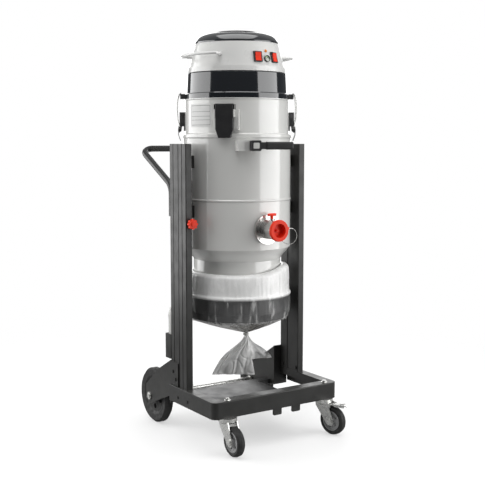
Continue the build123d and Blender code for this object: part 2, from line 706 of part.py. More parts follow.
def cable_gland():
    """Gland for the mains lead at the back of the head."""
    gland = rod_y(14, -212, -199, 0, 1408) + rod_y(10, -222, -212, 0, 1408)
    gland = gland - Cylinder(RING_R, 4000) - rod_y(5, -230, -206, 0, 1408)
    return around(HEAD_TURN + 180, gland)


# ---------------------------------------------------------------- bag unit
def bag_cassette():
    """Ring-shaped pack of folded film round the neck."""
    return turned((NECK_R + 0.5, 566), (208, 566), (208, 640), (196, 646), (NECK_R + 0.5, 650))


def support_ring():
    """Dark ring under the cassette, with an inner ledge."""
    return turned((176, 560), (176, 566), (211, 566), (212.5, 556), (212.5, 500), (204, 470),
                  (200, 471), (208, 502), (208, 560))


def film_cone(radius, z_top, knot_r, z_low):
    """A cone from the ring in to the knot, which stands off the axis."""
    top = Pos(0, 0, z_top) * Circle(radius)
    low = Pos(KNOT[0], KNOT[1], z_low) * Circle(knot_r)
    return loft([top, low])


def bag_film():
    """Film drawn down from the cassette, over the ring and in to the knot."""
    band = turned((NECK_R + 3, 690), (NECK_R + 4, 692), (211, 674), (213.5, 670), (214, 578),
                  (221, 562), (216, 552), (216, 500), (207.5, 466), (206, 466), (214.2, 500.5),
                  (214.2, 552), (214.2, 562), (212, 576), (211.5, 669), (209, 671))
    cone = film_cone(207.5, 466, 8, 393) - film_cone(206, 467, 5, 396)
    return band + cone


def bag_tie():
    """Cable tie round the knot."""
    x, y, z = KNOT
    return disc(11, z - 5, z + 4, x, y) - disc(8.3, z - 20, z + 20, x, y)


def bag_tail():
    """Loose end of the film below the knot, pressed flat."""
    outline = ((30, 378), (45, 378), (96, 332), (146, 284), (106, 262), (72, BAG_LOW_Z + 2),
               (-105, BAG_LOW_Z), (-62, 292), (4, 346))
    face = make_face(Polyline(*[(x, -13, z) for x, z in outline], close=True))
    tail = extrude(face, 26, dir=(0, 1, 0))
    tail = Rot(0, 0, VIEW_TURN) * tail
    x, y, z = KNOT
    return tail + disc(8, z - 16, z + 6, x, y)


# ---------------------------------------------------------------- rear pocket
def rear_pocket():
    """Sheet pocket on the back of the left post."""
    return box(-286, -222, POST_BACK, 92, 308, 408) - box(-284, -224, POST_BACK + 2, 90, 310, 420)


def spare_bags():
    """Folded spare bags standing in the pocket."""
    pouch = box(-281, -228, POST_BACK + 5, 86, 311, 512)
    return fillet(pouch.edges().filter_by(Axis.Z), 10)


# ---------------------------------------------------------------- assembly
for name, side in (("left", -1), ("right", 1)):
    parts[name + "_post"] = post(side)
    parts[name + "_rail"] = side_rail(side)
    parts[name + "_wheel_bracket"] = wheel_bracket(side)
    parts[name + "_rear_wheel"] = rear_wheel(side)
    place = caster_place(side)
    parts[name + "_caster_fork"] = place * caster_fork(side > 0)
    parts[name + "_caster_tyre"] = place * caster_tyre()
    parts[name + "_caster_hub"] = place * caster_hub()
parts["brake_pedal"] = caster_place(1) * brake_pedal()
parts["left_post"] += clamp_washer()

parts["latch_bases"] = group(*[latch_base(angle) for angle in LATCH_ANGLES])
for number, angle in enumerate(LATCH_ANGLES, 1):
    parts[f"latch_lever_{number}"] = latch_lever(angle)
    parts[f"latch_bail_{number}"] = latch_bail(angle)

for number, angle in enumerate((-SWITCH_SPREAD, SWITCH_SPREAD), 1):
    parts[f"rocker_{number}"] = rocker(angle)
parts["switch_bezels"] = group(switch_bezel(-SWITCH_SPREAD), switch_bezel(SWITCH_SPREAD))

parts["inlet"] = group(inlet_flange(), inlet_tube())

for make in (front_rail, bag_tray, rear_axle, push_handle, drum_mounts, caster_tops, drum_body,
             inlet_knob, inlet_plug, tether, clamp_knob, filter_housing,
             filter_cartridge, head_gasket, flap_frame, filter_flap, label_plate, shaker_bracket,
             shaker_lever, head_ring, head_shell, head_cap, head_handles, pilot_lamp, gauge_body,
             gauge_needle, motor_plate, motors, cable_gland, bag_cassette, support_ring, bag_film,
             bag_tie, bag_tail, rear_pocket, spare_bags):
    parts[make.__name__] = make()

os.makedirs("parts", exist_ok=True)
low, high = Vector(1e9, 1e9, 1e9), Vector(-1e9, -1e9, -1e9)
for name, shape in parts.items():
    placed = Pos(-ORIGIN_X, -ORIGIN_Y, 0) * shape
    export_step(placed, f"parts/{name}.step")
    bounds = placed.bounding_box()
    low = Vector(*[min(a, b) for a, b in zip(low, bounds.min)])
    high = Vector(*[max(a, b) for a, b in zip(high, bounds.max)])
print(len(parts), "nodes; box", tuple(low), tuple(high))
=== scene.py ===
from math import atan2, cos, pi, radians, sin

import bpy
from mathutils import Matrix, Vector, noise


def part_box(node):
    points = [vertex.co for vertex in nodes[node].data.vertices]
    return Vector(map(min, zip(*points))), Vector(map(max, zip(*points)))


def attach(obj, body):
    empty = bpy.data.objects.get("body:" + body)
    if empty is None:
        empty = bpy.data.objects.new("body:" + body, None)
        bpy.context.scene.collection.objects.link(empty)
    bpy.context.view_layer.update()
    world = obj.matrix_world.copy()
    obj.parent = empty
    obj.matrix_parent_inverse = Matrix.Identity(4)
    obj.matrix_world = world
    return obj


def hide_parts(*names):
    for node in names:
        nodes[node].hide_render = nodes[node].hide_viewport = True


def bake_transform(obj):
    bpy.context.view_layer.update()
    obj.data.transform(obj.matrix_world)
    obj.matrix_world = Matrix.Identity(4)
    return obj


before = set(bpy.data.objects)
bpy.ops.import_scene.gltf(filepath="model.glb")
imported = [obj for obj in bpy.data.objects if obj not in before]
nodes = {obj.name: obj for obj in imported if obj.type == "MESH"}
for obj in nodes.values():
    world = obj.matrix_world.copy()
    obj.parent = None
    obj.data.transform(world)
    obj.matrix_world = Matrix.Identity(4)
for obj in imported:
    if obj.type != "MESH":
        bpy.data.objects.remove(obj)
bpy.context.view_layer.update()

# Metres, +Z up, in the row frame.  The drum's axis stands DRUM_Y behind the origin.
MM = 0.001
DRUM_Y = 28.22 * MM


# ---------------------------------------------------------------- camera
CAMERA_AT = Vector((-2.026, -3.100, 1.170))
CAMERA_FORWARD = Vector((0.5455, 0.8311, -0.1074))
CAMERA_LENS = 67.8          # mm on a 36 mm sensor


def make_camera():
    """Camera at the front left, a little above the object's middle, looking slightly down."""
    data = bpy.data.cameras.new("camera")
    data.lens = CAMERA_LENS
    data.sensor_width = 36.0
    data.clip_start = 0.05
    data.clip_end = 60.0
    camera = bpy.data.objects.new("camera", data)
    camera.location = CAMERA_AT
    camera.rotation_mode = "QUATERNION"
    camera.rotation_quaternion = CAMERA_FORWARD.to_track_quat("-Z", "Y")
    bpy.context.scene.collection.objects.link(camera)
    bpy.context.scene.camera = camera


make_camera()


# ---------------------------------------------------------------- mesh helpers
def place(piece, body, material):
    """Gives a piece its finish, and lets it ride on a body if one is named."""
    piece.data.materials.clear()
    piece.data.materials.append(material)
    if body:
        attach(piece, body)


def mesh_piece(name, points, faces, smooth=True):
    """A mesh object from points and faces."""
    data = bpy.data.meshes.new(name)
    data.from_pydata([tuple(p) for p in points], [], faces)
    data.validate()
    data.polygons.foreach_set("use_smooth", [smooth] * len(data.polygons))
    data.update()
    piece = bpy.data.objects.new(name, data)
    bpy.context.scene.collection.objects.link(piece)
    return piece


def grid_faces(rows, columns, closed):
    """Quads of a grid stored row by row, closed round its columns or open."""
    faces = []
    for row in range(rows - 1):
        for column in range(columns if closed else columns - 1):
            after = (column + 1) % columns
            faces.append((row * columns + column, row * columns + after,
                          (row + 1) * columns + after, (row + 1) * columns + column))
    return faces


def smooth_line(points, steps):
    """Points along a soft curve through the given ones, all of one dimension."""
    line = []
    last = len(points) - 1
    for i in range(last):
        p0, p1, p2, p3 = (points[max(i - 1, 0)], points[i], points[i + 1], points[min(i + 2, last)])
        for step in range(steps):
            t = step / steps
            line.append(tuple(
                0.5 * (2 * b + (c - a) * t + (2 * a - 5 * b + 4 * c - d) * t**2
                       + (3 * b - a - 3 * c + d) * t**3)
                for a, b, c, d in zip(p0, p1, p2, p3)))
    line.append(tuple(points[-1]))
    return line


def tube_along(name, line, radius, sides=12):
    """A round tube with closed ends that follows a line of points."""
    line = [Vector(p) for p in line]
    points, faces = [], []
    normal = (line[1] - line[0]).orthogonal().normalized()
    for i, here in enumerate(line):
        ahead = (line[min(i + 1, len(line) - 1)] - line[max(i - 1, 0)]).normalized()
        normal = (normal - ahead * normal.dot(ahead)).normalized()
        other = ahead.cross(normal)
        for side in range(sides):
            a = 2 * pi * side / sides
            points.append(here + (normal * cos(a) + other * sin(a)) * radius)
    faces = grid_faces(len(line), sides, True)
    faces.append(tuple(reversed(range(sides))))
    faces.append(tuple(range(len(points) - sides, len(points))))
    return mesh_piece(name, points, faces)


def turned_piece(name, outline, origin, axis, sides=32):
    """A lathed piece from (radius, height) points about an axis through origin."""
    turn = Vector((0, 0, 1)).rotation_difference(Vector(axis))
    points = []
    for radius, height in outline:
        for side in range(sides):
            a = 2 * pi * side / sides
            points.append(Vector(origin) + turn @ Vector((radius * cos(a), radius * sin(a), height)))
    faces = grid_faces(len(outline), sides, True)
    faces.append(tuple(reversed(range(sides))))
    faces.append(tuple(range(len(points) - sides, len(points))))
    return mesh_piece(name, points, faces)


# ---------------------------------------------------------------- material helpers
def new_material(name):
    """An empty node material with its Principled shader."""
    material = bpy.data.materials.new(name)
    material.use_nodes = True
    tree = material.node_tree
    shader = tree.nodes["Principled BSDF"]
    return material, tree, shader


def object_point(tree, stretch=(1, 1, 1)):
    """Object coordinates, stretched."""
    coordinate = tree.nodes.new("ShaderNodeTexCoord")
    mapping = tree.nodes.new("ShaderNodeMapping")
    mapping.inputs["Scale"].default_value = stretch
    tree.links.new(coordinate.outputs["Object"], mapping.inputs["Vector"])
    return mapping.outputs["Vector"]


def noise_at(tree, point, scale, detail=4.0, rough=0.55):
    """A noise texture's value."""
    node = tree.nodes.new("ShaderNodeTexNoise")
    node.inputs["Scale"].default_value = scale
    node.inputs["Detail"].default_value = detail
    node.inputs["Roughness"].default_value = rough
    tree.links.new(point, node.inputs["Vector"])
    return node.outputs["Fac"]


def spread(tree, value, low, high, from_low=0.3, from_high=0.7):
    """Maps a value to a range, smoothly and clamped."""
    node = tree.nodes.new("ShaderNodeMapRange")
    node.interpolation_type = "SMOOTHSTEP"
    node.inputs["From Min"].default_value = from_low
    node.inputs["From Max"].default_value = from_high
    node.inputs["To Min"].default_value = low
    node.inputs["To Max"].default_value = high
    tree.links.new(value, node.inputs["Value"])
    return node.outputs["Result"]


def mix_colours(tree, factor, first, second):
    """A colour between two, by a factor."""
    node = tree.nodes.new("ShaderNodeMix")
    node.data_type = "RGBA"
    tree.links.new(factor, node.inputs["Factor"])
    for socket, colour in ((node.inputs[6], first), (node.inputs[7], second)):
        if isinstance(colour, tuple):
            socket.default_value = (*colour, 1.0)
        else:
            tree.links.new(colour, socket)
    return node.outputs[2]


def add_bump(tree, shader, layers):
    """Chains bump layers of (height, strength, distance) into the shader's normal."""
    normal = None
    for height, strength, distance in layers:
        bump = tree.nodes.new("ShaderNodeBump")
        bump.inputs["Strength"].default_value = strength
        bump.inputs["Distance"].default_value = distance
        tree.links.new(height, bump.inputs["Height"])
        if normal is not None:
            tree.links.new(normal, bump.inputs["Normal"])
        normal = bump.outputs["Normal"]
    tree.links.new(normal, shader.inputs["Normal"])


def math_node(tree, operation, first, second=None):
    """One sum, with sockets or numbers."""
    node = tree.nodes.new("ShaderNodeMath")
    node.operation = operation
    for socket, value in zip(node.inputs, (first, second)):
        if value is None:
            continue
        if isinstance(value, (int, float)):
            socket.default_value = value
        else:
            tree.links.new(value, socket)
    return node.outputs[0]


def split_point(tree):
    """Object coordinates as x, y and z."""
    coordinate = tree.nodes.new("ShaderNodeTexCoord")
    node = tree.nodes.new("ShaderNodeSeparateXYZ")
    tree.links.new(coordinate.outputs["Object"], node.inputs[0])
    return node.outputs


def facing_up(tree):
    """How much a surface faces up, from 0 to 1."""
    geometry = tree.nodes.new("ShaderNodeNewGeometry")
    node = tree.nodes.new("ShaderNodeSeparateXYZ")
    tree.links.new(geometry.outputs["Normal"], node.inputs[0])
    return node.outputs["Z"]


# ---------------------------------------------------------------- materials
def enamel(name, colour, rough, peel, coat=0.0, dust=0.0, peel_scale=320.0):
    """Sprayed paint: faint clouds in the tone, uneven gloss, orange peel, and dust on top faces."""
    material, tree, shader = new_material(name)
    point = object_point(tree)
    darker = tuple(c * 0.95 for c in colour)
    tone = mix_colours(tree, spread(tree, noise_at(tree, point, 2.2), 0.0, 1.0), colour, darker)
    if dust:
        up = spread(tree, facing_up(tree), 0.0, dust, 0.6, 1.0)
        patchy = math_node(tree, "MULTIPLY", up, noise_at(tree, point, 28.0, 6.0))
        pale = tuple(c * 0.5 + 0.28 for c in colour)
        tone = mix_colours(tree, patchy, tone, pale)
    tree.links.new(tone, shader.inputs["Base Color"])
    uneven = spread(tree, noise_at(tree, point, 14.0, 5.0), rough * 0.85, rough * 1.2)
    tree.links.new(uneven, shader.inputs["Roughness"])
    shader.inputs["Coat Weight"].default_value = coat
    shader.inputs["Coat Roughness"].default_value = 0.06
    add_bump(tree, shader, [(noise_at(tree, point, peel_scale, 2.0), peel, 0.0004)])
    return material


def powder_coat(name, colour, rough, grain):
    """Fine textured powder coat on steel, paler in faint clouds and dusty on top faces."""
    material, tree, shader = new_material(name)
    point = object_point(tree)
    paler = tuple(c * 1.35 + 0.004 for c in colour)
    tone = mix_colours(tree, spread(tree, noise_at(tree, point, 9.0, 6.0), 0.0, 0.8), colour, paler)
    up = spread(tree, facing_up(tree), 0.0, 0.35, 0.7, 1.0)
    dusty = math_node(tree, "MULTIPLY", up, noise_at(tree, point, 40.0, 6.0))
    tone = mix_colours(tree, dusty, tone, (0.075, 0.073, 0.068))
    tree.links.new(tone, shader.inputs["Base Color"])
    uneven = spread(tree, noise_at(tree, point, 22.0, 5.0), rough * 0.8, rough * 1.2)
    tree.links.new(uneven, shader.inputs["Roughness"])
    shader.inputs["Specular IOR Level"].default_value = 0.32
    add_bump(tree, shader, [
        (noise_at(tree, point, 1100.0, 2.0), grain, 0.0003),
        (noise_at(tree, point, 60.0, 2.0), grain * 0.4, 0.0006),
    ])
    return material


def moulded(name, colour, rough, grain, scuff=0.1):
    """Moulded plastic with a spark-eroded grain and faint scuffs."""
    material, tree, shader = new_material(name)
    point = object_point(tree)
    scuffed = tuple(min(1.0, c * 1.25 + 0.01) for c in colour)
    streaky = noise_at(tree, object_point(tree, (1, 1, 6)), 55.0, 8.0)
    marks = spread(tree, streaky, 0.0, scuff * 4, 0.55, 0.75)
    tree.links.new(mix_colours(tree, marks, colour, scuffed), shader.inputs["Base Color"])
    uneven = spread(tree, noise_at(tree, point, 35.0, 4.0), rough * 0.85, rough * 1.15)
    tree.links.new(uneven, shader.inputs["Roughness"])
    add_bump(tree, shader, [(noise_at(tree, point, 1500.0, 1.0), grain, 0.00025)])
    return material


def plated(name, colour, rough, spangle):
    """Zinc-plated or bare steel: a faint spangle and uneven brightness."""
    material, tree, shader = new_material(name)
    shader.inputs["Metallic"].default_value = 1.0
    point = object_point(tree)
    cells = tree.nodes.new("ShaderNodeTexVoronoi")
    cells.inputs["Scale"].default_value = 260.0
    tree.links.new(point, cells.inputs["Vector"])
    darker = tuple(c * 0.72 for c in colour)
    flakes = spread(tree, cells.outputs["Distance"], 0.0, spangle, 0.0, 0.8)
    tone = mix_colours(tree, flakes, colour, darker)
    tree.links.new(tone, shader.inputs["Base Color"])
    uneven = spread(tree, noise_at(tree, point, 90.0, 5.0), rough * 0.7, rough * 1.35)
    tree.links.new(uneven, shader.inputs["Roughness"])
    add_bump(tree, shader, [(noise_at(tree, point, 420.0, 3.0), 0.12, 0.0003)])
    return material


def brushed_stainless(name):
    """Turned stainless steel, with fine marks running round the inlet's axis."""
    material, tree, shader = new_material(name)
    shader.inputs["Metallic"].default_value = 1.0
    x, y, z = split_point(tree)
    inlet_z = (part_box("inlet")[0].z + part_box("inlet")[1].z) / 2
    height = math_node(tree, "SUBTRACT", z, inlet_z)
    squares = math_node(tree, "ADD", math_node(tree, "MULTIPLY", x, x),
                        math_node(tree, "MULTIPLY", height, height))
    radius = math_node(tree, "SQRT", squares)
    rings = tree.nodes.new("ShaderNodeCombineXYZ")
    tree.links.new(math_node(tree, "MULTIPLY", radius, 60.0), rings.inputs[0])
    tree.links.new(math_node(tree, "MULTIPLY", y, 60.0), rings.inputs[1])
    marks = noise_at(tree, rings.outputs[0], 24.0, 5.0)
    tone = mix_colours(tree, marks, (0.70, 0.69, 0.67), (0.52, 0.51, 0.50))
    tree.links.new(tone, shader.inputs["Base Color"])
    tree.links.new(spread(tree, marks, 0.16, 0.32), shader.inputs["Roughness"])
    add_bump(tree, shader, [(marks, 0.10, 0.0002)])
    return material


def rubber(name):
    """Black rubber with a dull bloom and moulding grain."""
    material, tree, shader = new_material(name)
    point = object_point(tree)
    bloom = spread(tree, noise_at(tree, point, 38.0, 6.0), 0.0, 0.7)
    tree.links.new(mix_colours(tree, bloom, (0.008, 0.008, 0.008), (0.018, 0.0175, 0.0165)),
                   shader.inputs["Base Color"])
    tree.links.new(spread(tree, noise_at(tree, point, 70.0), 0.55, 0.8), shader.inputs["Roughness"])
    add_bump(tree, shader, [(noise_at(tree, point, 900.0, 3.0), 0.25, 0.0004)])
    return material


def red_plastic(name):
    """Bright red moulding, slightly translucent."""
    material = moulded(name, (0.78, 0.036, 0.010), 0.40, 0.04, 0.0)
    shader = material.node_tree.nodes["Principled BSDF"]
    shader.inputs["Subsurface Weight"].default_value = 0.04
    shader.inputs["Subsurface Radius"].default_value = (0.004, 0.001, 0.001)
    shader.inputs["Specular IOR Level"].default_value = 0.2
    return material


def lens(name, colour):
    """A small coloured lamp lens, faintly lit from inside."""
    material, tree, shader = new_material(name)
    point = object_point(tree)
    ribs = noise_at(tree, point, 900.0, 1.0)
    deep = tuple(c * 0.6 for c in colour)
    tree.links.new(mix_colours(tree, ribs, colour, deep), shader.inputs["Base Color"])
    shader.inputs["Roughness"].default_value = 0.12
    shader.inputs["Emission Color"].default_value = (*colour, 1.0)
    shader.inputs["Emission Strength"].default_value = 0.12
    shader.inputs["Coat Weight"].default_value = 0.6
    add_bump(tree, shader, [(ribs, 0.1, 0.0003)])
    return material


def within(tree, value, low, high):
    """One where a value lies between two numbers, else zero."""
    above = math_node(tree, "GREATER_THAN", value, low)
    below = math_node(tree, "LESS_THAN", value, high)
    return math_node(tree, "MULTIPLY", above, below)


LABEL_RADIUS = 0.211             # where the label lies on the housing
LABEL_SIDE = (0.0505, 0.0520)    # inner and outer edge of its ruled border, across the label
LABEL_END = (0.0365, 0.0380)     # the same, up the label
LABEL_RULES = (-0.018, -0.004, 0.014)
RULE_HALF = 0.0006


def label_face(name):
    """Matt label film with a plain ruled border and three ruled lines, and nothing written."""
    material, tree, shader = new_material(name)
    point = object_point(tree)
    low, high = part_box("label_plate")
    middle = (low + high) / 2
    x, y, z = split_point(tree)
    heading = math_node(tree, "ARCTAN2", math_node(tree, "SUBTRACT", y, DRUM_Y), x)
    turn = math_node(tree, "SUBTRACT", heading, atan2(middle.y - DRUM_Y, middle.x))
    across = math_node(tree, "ABSOLUTE", math_node(tree, "MULTIPLY", turn, LABEL_RADIUS))
    height = math_node(tree, "SUBTRACT", z, middle.z)
    up = math_node(tree, "ABSOLUTE", height)
    sides = math_node(tree, "MULTIPLY", within(tree, across, *LABEL_SIDE),
                      math_node(tree, "LESS_THAN", up, LABEL_END[1]))
    ends = math_node(tree, "MULTIPLY", within(tree, up, *LABEL_END),
                     math_node(tree, "LESS_THAN", across, LABEL_SIDE[1]))
    lines = math_node(tree, "ADD", sides, ends)
    inside = math_node(tree, "LESS_THAN", across, LABEL_SIDE[0])
    for rule_z in LABEL_RULES:
        rule = within(tree, height, rule_z - RULE_HALF, rule_z + RULE_HALF)
        lines = math_node(tree, "ADD", lines, math_node(tree, "MULTIPLY", rule, inside))
    ground = mix_colours(tree, noise_at(tree, point, 45.0, 6.0), (0.66, 0.66, 0.65), (0.58, 0.58, 0.57))
    tree.links.new(mix_colours(tree, math_node(tree, "MINIMUM", lines, 1.0), ground, (0.10, 0.10, 0.10)),
                   shader.inputs["Base Color"])
    tree.links.new(spread(tree, noise_at(tree, point, 25.0), 0.28, 0.42), shader.inputs["Roughness"])
    add_bump(tree, shader, [(noise_at(tree, point, 700.0, 2.0), 0.05, 0.0002)])
    return material


DIAL_R = 0.01106
SECTOR_R = (0.0065, 0.0095)      # inner and outer radius of the dial's green sector
SECTOR_LOW = 0.001               # the sector starts this far above the dial's centre


def gauge_face(name):
    """Black gauge rim round a pale dial with a green sector."""
    material, tree, shader = new_material(name)
    low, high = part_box("gauge_body")
    centre = (low + high) / 2
    coordinate = tree.nodes.new("ShaderNodeTexCoord")
    offset = tree.nodes.new("ShaderNodeVectorMath")
    offset.operation = "DISTANCE"
    tree.links.new(coordinate.outputs["Object"], offset.inputs[0])
    offset.inputs[1].default_value = centre
    distance = offset.outputs["Value"]
    height = math_node(tree, "SUBTRACT", split_point(tree)[2], centre.z)
    dial = math_node(tree, "LESS_THAN", distance, DIAL_R)
    sector = math_node(tree, "MULTIPLY", within(tree, distance, *SECTOR_R),
                       math_node(tree, "GREATER_THAN", height, SECTOR_LOW))
    face = mix_colours(tree, sector, (0.72, 0.74, 0.66), (0.22, 0.48, 0.10))
    tree.links.new(mix_colours(tree, dial, (0.012, 0.012, 0.012), face), shader.inputs["Base Color"])
    uneven = spread(tree, noise_at(tree, object_point(tree), 60.0), 0.2, 0.32)
    tree.links.new(uneven, shader.inputs["Roughness"])
    shader.inputs["Coat Weight"].default_value = 0.6
    return material


def woven(name, colour):
    """Filter felt: crossed fibres with a soft nap."""
    material, tree, shader = new_material(name)
    across = noise_at(tree, object_point(tree, (1, 1, 14)), 160.0, 6.0)
    along = noise_at(tree, object_point(tree, (12, 12, 1)), 160.0, 6.0)
    fibres = math_node(tree, "MULTIPLY", across, along)
    darker = tuple(c * 0.7 for c in colour)
    tree.links.new(mix_colours(tree, fibres, darker, colour), shader.inputs["Base Color"])
    tree.links.new(spread(tree, fibres, 0.8, 0.95, 0.1, 0.5), shader.inputs["Roughness"])
    shader.inputs["Sheen Weight"].default_value = 0.3
    add_bump(tree, shader, [(fibres, 0.5, 0.0008)])
    return material


def film_shader(name, tint, shade, crease_depth):
    """Polythene film: milky, glossy and creased; its alpha is set by the caller."""
    material, tree, shader = new_material(name)
    creases = noise_at(tree, object_point(tree, (1, 1, 0.5)), 34.0, 4.0, 0.5)
    cloud = noise_at(tree, object_point(tree), 14.0, 4.0)
    tree.links.new(mix_colours(tree, spread(tree, cloud, 0.0, 1.0), tint, shade), shader.inputs["Base Color"])
    tree.links.new(spread(tree, creases, 0.16, 0.32), shader.inputs["Roughness"])
    shader.inputs["Specular IOR Level"].default_value = 0.7
    add_bump(tree, shader, [
        (creases, crease_depth, 0.0030),
        (noise_at(tree, object_point(tree, (1, 1, 0.3)), 120.0, 2.0), 0.08, 0.0010),
    ])
    return material, tree, shader, cloud


def film(name, alpha_low, alpha_high, tint=(0.80, 0.80, 0.79)):
    """Film of one thickness."""
    shade = tuple(c * 0.88 for c in tint)
    material, tree, shader, cloud = film_shader(name, tint, shade, 0.3)
    tree.links.new(spread(tree, cloud, alpha_low, alpha_high), shader.inputs["Alpha"])
    return material


FOLDED_FADE = (0.556, 0.570)     # heights over which the film turns from one layer to many
CONE_FADE = (0.456, 0.472)       # heights over which the cone's film turns clear over the ring
CONE_SHADE_AND_CONTENTS_FADE = (0.452, 0.480)       # heights over which the cone's grey fades out; the grey is partly painted shade of the bag's dim inside, partly the tint of what the bag holds


def bag_film_material(name):
    """The bag's film: many white layers above the ring, a clear layer over it with pale streaks of painted
    highlight, and a grey one on the cone whose grey is partly painted shade of the bag's dim inside and
    partly the tint of what the bag holds.
    """
    material, tree, shader, cloud = film_shader(name, (0.90, 0.90, 0.89), (0.78, 0.78, 0.77), 0.30)
    height = split_point(tree)[2]
    folded = spread(tree, height, 0.0, 0.90, *FOLDED_FADE)
    cone = spread(tree, height, 0.76, 0.0, *CONE_FADE)
    alpha = math_node(tree, "ADD", folded, cone)
    alpha = math_node(tree, "ADD", alpha, spread(tree, cloud, 0.05, 0.13))
    # pale streaks of more opaque white film over the ring stand for the gloss on its creases: painted
    # highlight
    highlight_streaks = noise_at(tree, object_point(tree, (1, 1, 0.22)), 26.0, 2.0)
    alpha = math_node(tree, "ADD", alpha, spread(tree, highlight_streaks, 0.0, 0.38, 0.56, 0.70))
    tree.links.new(alpha, shader.inputs["Alpha"])
    tone = shader.inputs["Base Color"].links[0].from_socket
    # the cone's grey-brown stands partly for painted shade of the bag's dim inside seen through the film,
    # partly for the tint of what the bag holds
    shade_and_contents = spread(tree, height, 1.0, 0.0, *CONE_SHADE_AND_CONTENTS_FADE)
    tree.links.new(mix_colours(tree, shade_and_contents, tone, (0.15, 0.135, 0.11)), shader.inputs["Base Color"])
    return material


def two_tone(name, upper, split_z):
    """Drum paint below a height and a dark moulding tone above it."""
    material = enamel(name, DRUM_COLOUR, 0.22, 0.03, coat=0.8)
    tree = material.node_tree
    shader = tree.nodes["Principled BSDF"]
    tone = shader.inputs["Base Color"].links[0].from_socket
    mask = math_node(tree, "GREATER_THAN", split_point(tree)[2], split_z)
    tree.links.new(mix_colours(tree, mask, tone, upper), shader.inputs["Base Color"])
    return material


DRUM_COLOUR = (0.70, 0.70, 0.68)
FRAME_SPLIT_Z = 1.3005           # the flap frame's ears, above this, are dark moulding
POST_PAINT = powder_coat("post_paint", (0.019, 0.019, 0.018), 0.36, 0.12)
TRAY_PAINT = enamel("tray_paint", (0.012, 0.012, 0.012), 0.42, 0.03)
DRUM_PAINT = enamel("drum_paint", DRUM_COLOUR, 0.22, 0.03, coat=0.8)
FRAME_PAINT = two_tone("frame_paint", (0.02, 0.02, 0.021), FRAME_SPLIT_Z)
SHELL_PAINT = enamel("shell_paint", (0.68, 0.68, 0.665), 0.28, 0.035, coat=0.5)
BLACK_GLOSS = enamel("black_gloss", (0.006, 0.008, 0.011), 0.10, 0.015, coat=1.0)
BLACK_PLASTIC = moulded("black_plastic", (0.016, 0.016, 0.017), 0.42, 0.22)
BLACK_TUBE = enamel("black_tube", (0.014, 0.014, 0.014), 0.28, 0.05)
RUBBER = rubber("rubber")
ZINC = plated("zinc", (0.72, 0.72, 0.70), 0.30, 0.6)
DARK_STEEL = plated("dark_steel", (0.20, 0.20, 0.20), 0.38, 0.5)
STAINLESS = brushed_stainless("stainless")
RED = red_plastic("red_plastic")
ORANGE_LENS = lens("orange_lens", (0.95, 0.28, 0.02))
GREY_PLASTIC = moulded("grey_plastic", (0.30, 0.30, 0.30), 0.45, 0.12)
WHITE_TUBE = enamel("white_tube", (0.72, 0.72, 0.71), 0.22, 0.03, coat=0.3)
LABEL = label_face("label")
GAUGE = gauge_face("gauge")
TIE = moulded("tie", (0.55, 0.55, 0.53), 0.35, 0.05)
FILTER_CLOTH = woven("filter_cloth", (0.72, 0.71, 0.66))
CASSETTE = moulded("cassette", (0.68, 0.68, 0.67), 0.4, 0.1)
FOAM = moulded("foam", (0.03, 0.03, 0.03), 0.9, 0.6)
MOTOR_METAL = plated("motor_metal", (0.55, 0.55, 0.54), 0.42, 0.4)


FINISHES = (
    (POST_PAINT, ("left_post", "right_post", "left_rail", "right_rail", "front_rail", "drum_mounts",
                  "left_wheel_bracket", "right_wheel_bracket", "rear_pocket")),
    (TRAY_PAINT, ("bag_tray",)),
    (DRUM_PAINT, ("drum_body", "filter_housing", "shaker_bracket")),
    (FRAME_PAINT, ("flap_frame",)),
    (SHELL_PAINT, ("head_shell",)),
    (BLACK_GLOSS, ("head_ring", "head_cap")),
    (BLACK_PLASTIC, ("filter_flap", "shaker_lever", "switch_bezels", "cable_gland", "support_ring")),
    (CASSETTE, ("bag_cassette",)),
    (BLACK_TUBE, ("push_handle",)),
    (RUBBER, ("left_rear_wheel", "right_rear_wheel", "left_caster_tyre", "right_caster_tyre")),
    (ZINC, ("left_caster_fork", "right_caster_fork", "caster_tops", "brake_pedal", "rear_axle",
            "latch_bail_1", "latch_bail_2")),
    (DARK_STEEL, ("latch_bases", "latch_lever_1", "latch_lever_2")),
    (STAINLESS, ("inlet",)),
    (RED, ("inlet_knob", "inlet_plug", "clamp_knob", "rocker_1", "rocker_2")),
    (ORANGE_LENS, ("pilot_lamp",)),
    (GREY_PLASTIC, ("left_caster_hub", "right_caster_hub")),
    (WHITE_TUBE, ("head_handles",)),
    (LABEL, ("label_plate",)),
    (FILTER_CLOTH, ("filter_cartridge",)),
    (FOAM, ("head_gasket",)),
    (MOTOR_METAL, ("motors", "motor_plate", "gauge_needle")),
    (GAUGE, ("gauge_body",)),
    (TIE, ("bag_tie",)),
)


def finish_nodes():
    """Gives every CAD node that stays its material."""
    for material, names in FINISHES:
        for name in names:
            data = nodes[name].data
            data.materials.clear()
            data.materials.append(material)


finish_nodes()


# ---------------------------------------------------------------- tether
TETHER_ROUTE = (
    (0.047, -0.26628, 0.846),
    (0.061, -0.26578, 0.846),
    (0.077, -0.26178, 0.841),
    (0.093, -0.25378, 0.828),
    (0.104, -0.24378, 0.810),
    (0.105, -0.23378, 0.791),
    (0.095, -0.22378, 0.779),
    (0.079, -0.21578, 0.777),
    (0.064, -0.20878, 0.786),
    (0.054, -0.20278, 0.799),
    (0.050, -0.19928, 0.812),
)
TETHER_DIAMETER = 0.0024
FLANGE_FACE = -222.4 * MM + DRUM_Y


